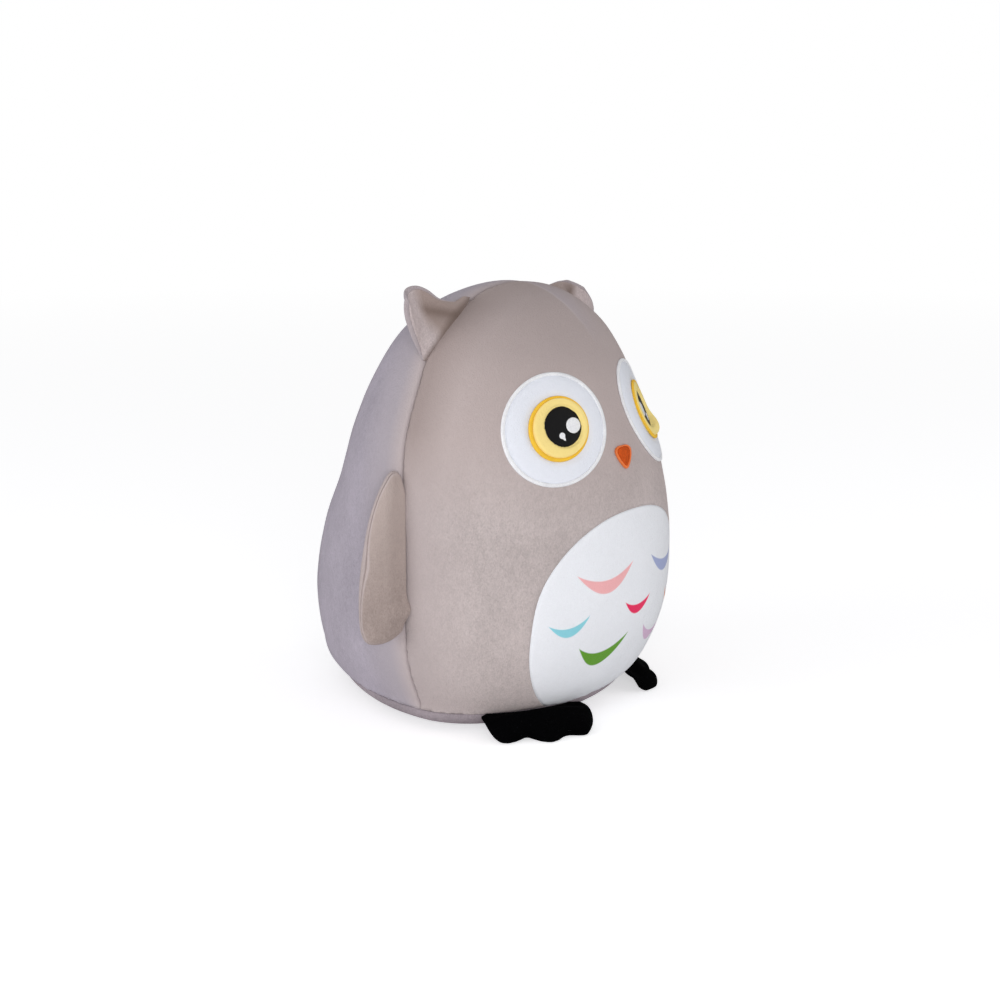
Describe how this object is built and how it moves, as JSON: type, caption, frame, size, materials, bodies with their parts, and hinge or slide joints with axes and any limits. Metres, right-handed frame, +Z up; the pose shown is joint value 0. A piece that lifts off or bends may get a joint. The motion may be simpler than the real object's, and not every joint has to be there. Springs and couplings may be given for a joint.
{
  "type": "plush owl",
  "caption": "Round stuffed toy owl with a flat base, padded wings sewn in the side seams, folded ears, mitten feet, embroidered eyes and a printed white belly.",
  "frame": {"origin": "on the floor, in the middle of the flat part of the base, in the plane of the two side seams", "axes": "+Z up; the owl looks along -Y and its right wing is at -X"},
  "size_m": [0.2814, 0.2673, 0.3027],
  "materials": {
    "plush_taupe": "short-pile plush, warm taupe",
    "plush_back": "short-pile plush, cool lilac grey",
    "plush_base": "short-pile plush, grey taupe",
    "plush_white": "short-pile plush, white, printed on the belly",
    "plush_black": "short-pile plush, black",
    "filling": "loose polyester fibre",
    "fabric_yellow": "padded brushed fabric, pale yellow",
    "fabric_orange": "felt, dark orange",
    "thread_white": "embroidery thread, satin stitch, white",
    "thread_amber": "embroidery thread, satin stitch, amber",
    "thread_black": "embroidery thread, fill stitch, black",
    "thread_orange": "embroidery thread, satin stitch, orange"
  },
  "bodies": {
    "owl_body": {"front_panel": "plush_taupe", "belly_panel": "plush_white", "back_panel": "plush_back", "base_panel": "plush_base", "body_filling": "filling", "beak_stitch": "thread_orange", "beak": "fabric_orange", "eye_stitch_right": "thread_white", "eye_white_right": "plush_white", "iris_stitch_right": "thread_amber", "iris_right": "fabric_yellow", "pupil_right": "thread_black", "glint_right": "thread_white", "spark_right": "thread_white", "eye_stitch_left": "thread_white", "eye_white_left": "plush_white", "iris_stitch_left": "thread_amber", "iris_left": "fabric_yellow", "pupil_left": "thread_black", "glint_left": "thread_white", "spark_left": "thread_white"},
    "ear_right": {"ear_front_panel_right": "plush_taupe", "ear_back_panel_right": "plush_taupe"},
    "ear_left": {"ear_front_panel_left": "plush_taupe", "ear_back_panel_left": "plush_taupe"},
    "wing_right": {"wing_front_panel_right": "plush_taupe", "wing_back_panel_right": "plush_taupe", "wing_filling_right": "filling"},
    "wing_left": {"wing_front_panel_left": "plush_taupe", "wing_back_panel_left": "plush_taupe", "wing_filling_left": "filling"},
    "foot_right": {"foot_top_panel_right": "plush_black", "foot_sole_panel_right": "plush_black", "foot_filling_right": "filling"},
    "foot_left": {"foot_top_panel_left": "plush_black", "foot_sole_panel_left": "plush_black", "foot_filling_left": "filling"}
  },
  "joints": [
    {"name": "wing_right_flap", "type": "hinge", "parent": "owl_body", "child": "wing_right", "pos_m": [-0.11739, 0.00097, 0.1345], "axis": [0, 0, 1], "range_deg": [-18, 80], "stiffness_Nm_per_rad": 0.03},
    {"name": "wing_left_flap", "type": "hinge", "parent": "owl_body", "child": "wing_left", "pos_m": [0.11739, 0.00097, 0.1345], "axis": [0, 0, -1], "range_deg": [-18, 80], "stiffness_Nm_per_rad": 0.03},
    {"name": "ear_right_fold", "type": "hinge", "parent": "owl_body", "child": "ear_right", "pos_m": [-0.0718, 0, 0.27787], "axis": [0.7782, 0, 0.628], "range_deg": [-20, 25], "stiffness_Nm_per_rad": 0.02},
    {"name": "ear_left_fold", "type": "hinge", "parent": "owl_body", "child": "ear_left", "pos_m": [0.0718, 0, 0.27787], "axis": [0.7782, 0, -0.628], "range_deg": [-20, 25], "stiffness_Nm_per_rad": 0.02},
    {"name": "foot_right_flex", "type": "hinge", "parent": "owl_body", "child": "foot_right", "pos_m": [-0.05531, -0.06468, 0.014], "axis": [-0.8932, 0.4496, 0], "range_deg": [0, 25], "stiffness_Nm_per_rad": 0.05},
    {"name": "foot_left_flex", "type": "hinge", "parent": "owl_body", "child": "foot_left", "pos_m": [0.08649, -0.03965, 0.014], "axis": [-0.6119, -0.791, 0], "range_deg": [0, 25], "stiffness_Nm_per_rad": 0.05}
  ]
}
